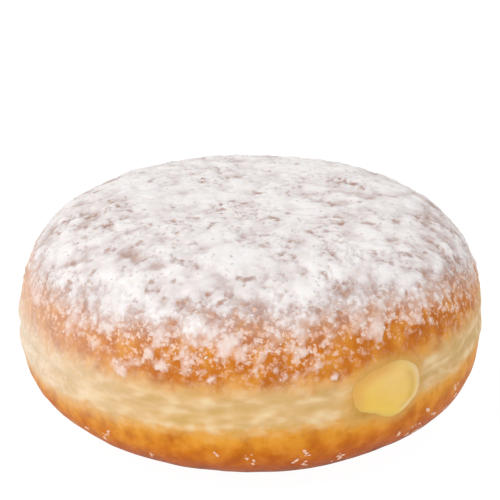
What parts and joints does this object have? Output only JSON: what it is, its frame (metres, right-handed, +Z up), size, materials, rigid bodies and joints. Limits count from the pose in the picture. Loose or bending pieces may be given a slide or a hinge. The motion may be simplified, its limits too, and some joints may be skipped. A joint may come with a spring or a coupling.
{
  "type": "filled doughnut",
  "caption": "Plump round yeast doughnut with a flat foot, a pale belt round its side, a coat of powdered sugar and custard showing at a mouth in its side.",
  "frame": {"origin": "middle of the bounding box's bottom, in the flat foot that the doughnut rests on", "axes": "+Z up, +X to the right of the front, which faces -Y; the mouth with the custard faces 33 degrees from the front towards +X"},
  "size_m": [0.09, 0.0876, 0.042],
  "materials": {
    "fried_dough": "matt golden-brown crust, lightly greasy, with a pale cream belt round the side",
    "custard": "smooth, softly shining yellow custard",
    "powdered_sugar": "dead-matt white powder, caked in low heaps and crumbs"
  },
  "bodies": {
    "root": {"dough": "fried_dough", "filling": "custard"}
  },
  "joints": []
}
